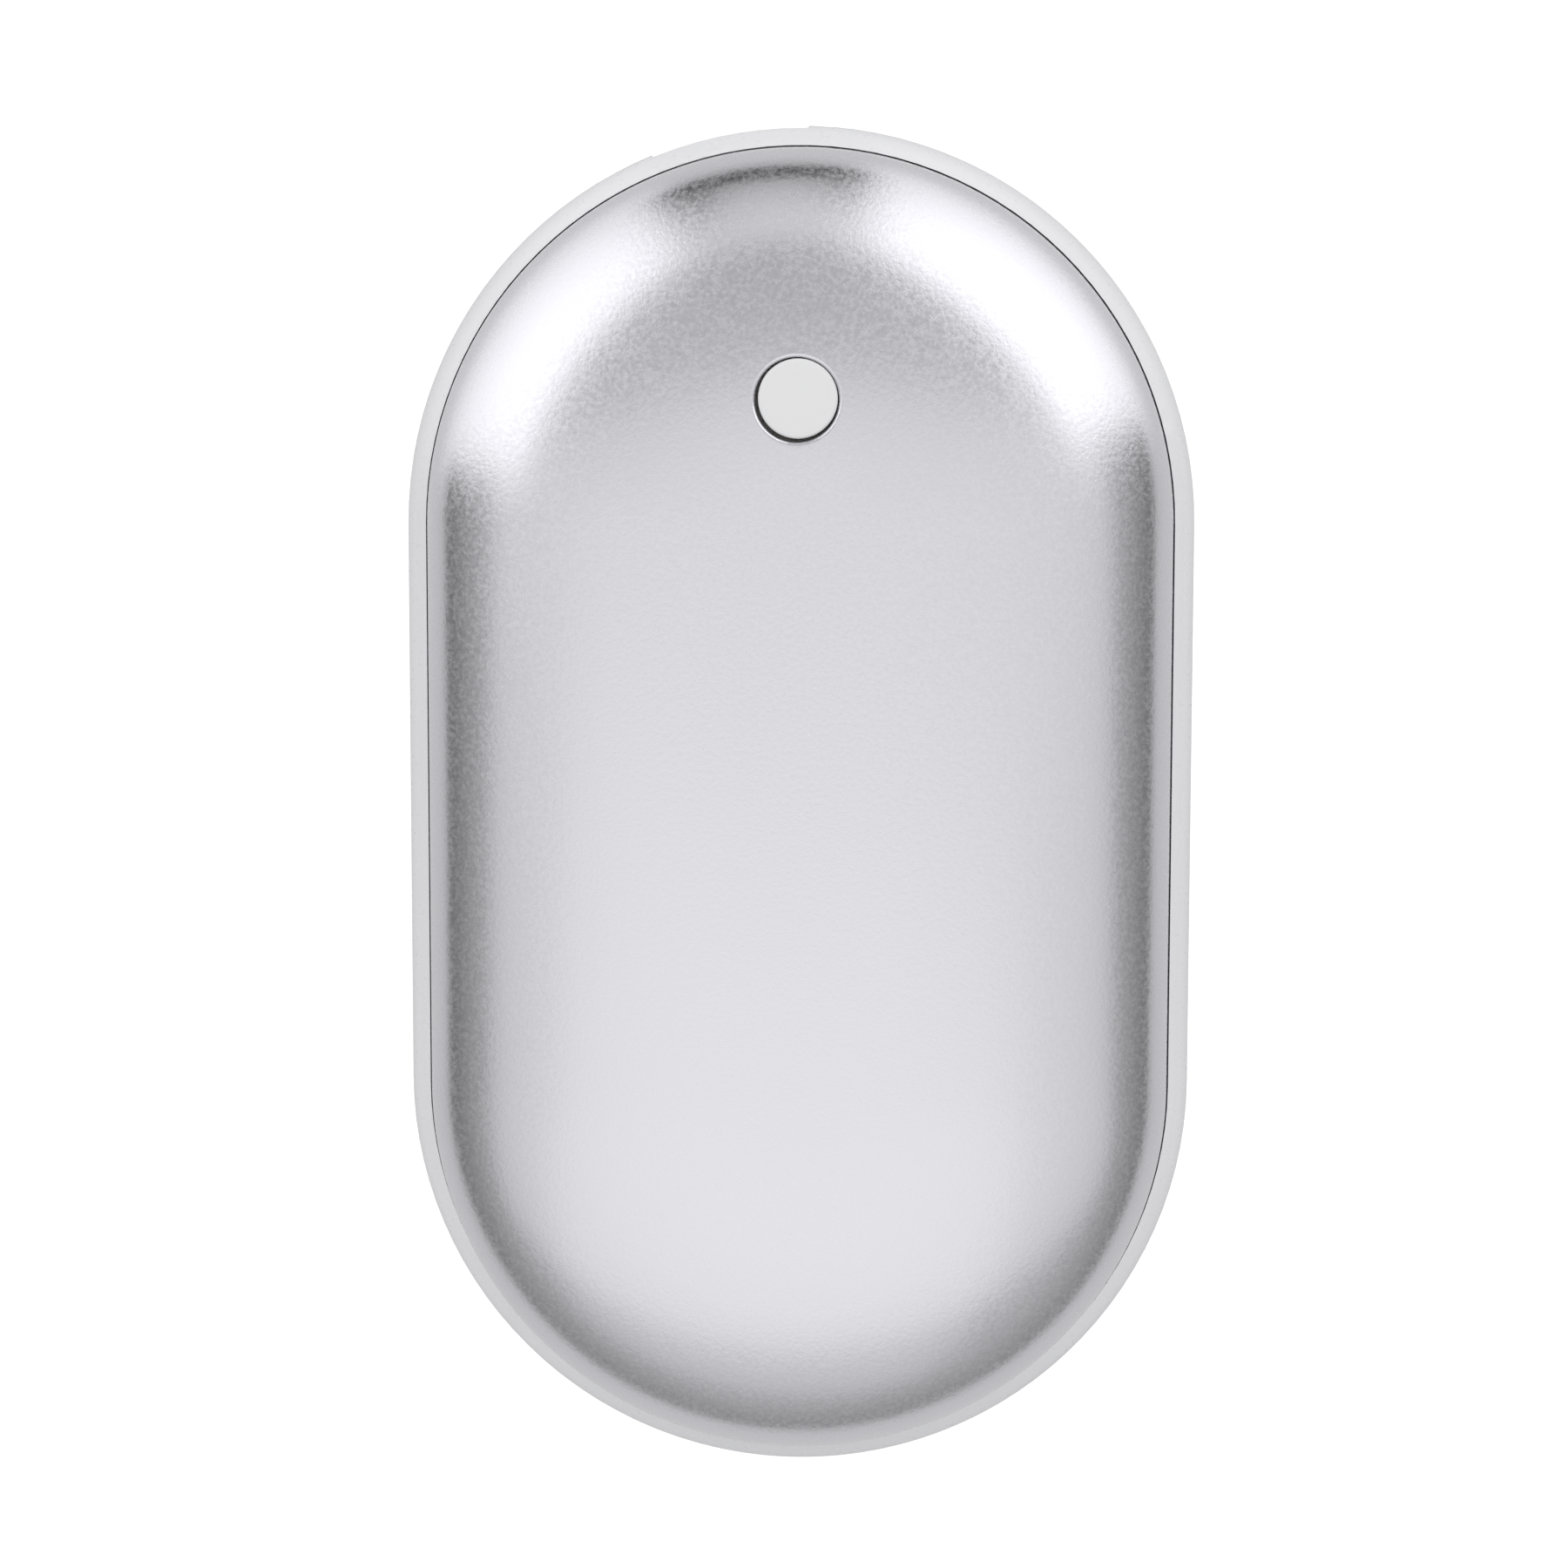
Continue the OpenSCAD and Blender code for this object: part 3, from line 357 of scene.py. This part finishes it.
def button():
    """The cap: a face that follows the shell, a soft edge and its skirt, a little off the middle of
    the flange and stem that the liner guides."""
    around = 144
    face_steps = 8
    soft = 0.2
    soft_steps = 6
    cap_r = BUTTON_D / 2
    sit = Vector((BUTTON_OFF, BUTTON_Y + BUTTON_OFF))
    guided = Vector((0, BUTTON_Y))
    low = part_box("button_cap")[0][2] / MM - MID_Z
    flange_r = (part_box("button_cap")[1][0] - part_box("button_cap")[0][0]) / MM / 2
    shelf = crown_height(0, BUTTON_Y, SKIN_T) - FLANGE_DROP
    skirt = 0.4
    bevel = 0.1
    waist = cap_r - 0.2
    stem_r = 1.6
    tip_r = 1.0
    tip_h = 0.8
    loops = []

    def ring(r, z, at=sit):
        loop = []
        for i in range(around):
            a = 2 * math.pi * i / around
            p = at + r * Vector((math.cos(a), math.sin(a)))
            loop.append(Vector((p.x, p.y, z(p) if callable(z) else z)))
        return loop

    def face(depth):
        return lambda p: crown_height(p.x, p.y) + BUTTON_PROUD - depth

    for i in range(face_steps + 1):
        loops.append(ring((cap_r - soft) * i / face_steps, face(0)))
    for i in range(1, soft_steps + 1):
        turn = math.pi / 2 * i / soft_steps
        loops.append(ring(cap_r - soft + soft * math.sin(turn), face(soft * (1 - math.cos(turn)))))
    loops.append(ring(cap_r, face(skirt)))
    loops.append(ring(waist, face(skirt + bevel)))
    loops.append(ring(waist, shelf))
    loops.append(ring(flange_r - bevel, shelf, guided))
    loops.append(ring(flange_r, shelf - bevel, guided))
    loops.append(ring(flange_r, shelf - FLANGE_T, guided))
    loops.append(ring(stem_r, shelf - FLANGE_T, guided))
    loops.append(ring(stem_r, low + tip_h, guided))
    loops.append(ring(tip_r, low + tip_h, guided))
    loops.append(ring(tip_r, low, guided))
    loops.append(ring(0, low, guided))
    return loops_mesh("button_cap_moulded", loops, button_abs, "button", closed=False)


stand_in(button(), "button_cap")


def snap_dome():
    """The switch's spring leaf, copied unchanged from its node."""
    piece = bpy.data.objects.new("switch_dome_leaf", frame["nodes"]["switch_dome"].data.copy())
    bpy.context.scene.collection.objects.link(piece)
    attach(piece, "housing")
    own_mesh(piece)
    return piece


stand_in(snap_dome(), "switch_dome")


# Camera: nearly straight above, a little towards the end with the sockets
CAMERA_TILT = math.radians(5.79)
CAMERA_PAN = math.radians(1.33)
CAMERA_ROLL = math.radians(0.09)
CAMERA_DISTANCE = 0.270
CAMERA_LENS = 76.31
AIM = Vector((-1.3, 1.44, 0)) * MM

middle = Vector((0, 0, MID_Z * MM))
toward = Vector((math.sin(CAMERA_PAN), math.sin(CAMERA_TILT) * math.cos(CAMERA_PAN),
                 math.cos(CAMERA_TILT) * math.cos(CAMERA_PAN)))
camera_data = bpy.data.cameras.new("camera")
camera_data.lens = CAMERA_LENS
camera_data.sensor_width = 36
camera_data.clip_start = 0.01
camera = bpy.data.objects.new("camera", camera_data)
bpy.context.scene.collection.objects.link(camera)
bpy.context.scene.camera = camera
back = (middle + toward * CAMERA_DISTANCE - (middle + AIM)).normalized()
right = Vector((0, 1, 0)).cross(back).normalized()
up = back.cross(right)
turn = Matrix((right, up, back)).transposed().to_4x4()
camera.matrix_world = (Matrix.Translation(middle + toward * CAMERA_DISTANCE) @ turn
                       @ Matrix.Rotation(CAMERA_ROLL, 4, "Z"))


# Stage: a white table, which camera and metal see as white, with the object's shadow left on it
def table():
    size = 6.0
    white_to_camera = 0.85
    white_to_metal = 0.38
    mesh = bpy.data.meshes.new("table")
    corners = [(-size, -size, 0), (size, -size, 0), (size, size, 0), (-size, size, 0)]
    mesh.from_pydata(corners, [], [(0, 1, 2, 3)])
    material = bpy.data.materials.new("table_white")
    material.use_nodes = True
    tree = material.node_tree
    tree.nodes.clear()
    path = add(tree, "ShaderNodeLightPath")
    mirrored = add(tree, "ShaderNodeMath",
                   links={0: path.outputs["Is Glossy Ray"], 1: path.outputs["Is Transmission Ray"]},
                   operation="MAXIMUM")
    dimmed = add(tree, "ShaderNodeMath", {1: white_to_metal}, {0: mirrored.outputs[0]}, operation="MULTIPLY")
    glow = add(tree, "ShaderNodeMath", {1: white_to_camera},
               {0: path.outputs["Is Camera Ray"], 2: dimmed.outputs[0]}, operation="MULTIPLY_ADD")
    lit = add(tree, "ShaderNodeBsdfPrincipled",
              {"Base Color": linear("#A0A0A0"), "Roughness": 0.25, "Emission Color": linear("#FFFFFF")},
              {"Emission Strength": glow.outputs[0]})
    add(tree, "ShaderNodeOutputMaterial", {}, {"Surface": lit.outputs[0]})
    mesh.materials.append(material)
    piece = bpy.data.objects.new("table", mesh)
    bpy.context.scene.collection.objects.link(piece)


table()


# Studio: panels hung over the table, two standing beside its far end, and a dim room round it
PANEL_DISTANCE = 1.5


def panel(name, azimuth, elevation, width, height, radiance, standing=False):
    """A soft panel towards the object. Azimuth runs from +Y towards +X; a standing one is upright."""
    a = math.radians(azimuth)
    e = math.radians(elevation)
    data = bpy.data.lights.new(name, "AREA")
    data.shape = "RECTANGLE"
    data.size = width
    data.size_y = height
    data.energy = radiance * math.pi * width * height
    lamp = bpy.data.objects.new(name, data)
    bpy.context.scene.collection.objects.link(lamp)
    level = Vector((math.sin(a), math.cos(a), 0))
    away = level * math.cos(e) + Vector((0, 0, math.sin(e)))
    lamp.location = middle + (level + Vector((0, 0, height / 2 / PANEL_DISTANCE)) if standing
                              else away) * PANEL_DISTANCE
    lamp.rotation_euler = (level if standing else away).to_track_quat("Z", "Y").to_euler()


panel("panel_over", 177, 75, 3.9, 1.62, 0.27)
panel("panel_over_near", 189, 57, 1.6, 1.56, 0.15)
panel("panel_far", -6, 32, 0.5, 1.0, 0.43)
panel("panel_left", -53, 0, 1.6, 2.0, 1.12, standing=True)
panel("panel_right", 42, 0, 1.86, 2.2, 1.19, standing=True)

# The room is brighter overhead and a little brighter towards the near end, and dim at the level
ROOM_SLOPE = (0.014, -0.155, 0.545)
ROOM_LEVEL = 0.105
world = bpy.data.worlds.new("room")
bpy.context.scene.world = world
world.use_nodes = True
room = world.node_tree
view = add(room, "ShaderNodeTexCoord").outputs["Generated"]
climb = add(room, "ShaderNodeVectorMath", {1: ROOM_SLOPE}, {0: view}, operation="DOT_PRODUCT")
shade = add(room, "ShaderNodeMath", {1: ROOM_LEVEL}, {0: climb.outputs["Value"]}, operation="ADD",
            use_clamp=True)
room.links.new(shade.outputs[0], room.nodes["Background"].inputs["Strength"])
room.nodes["Background"].inputs["Color"].default_value = linear("#FFFFFF")

bpy.context.scene.view_settings.view_transform = "Standard"
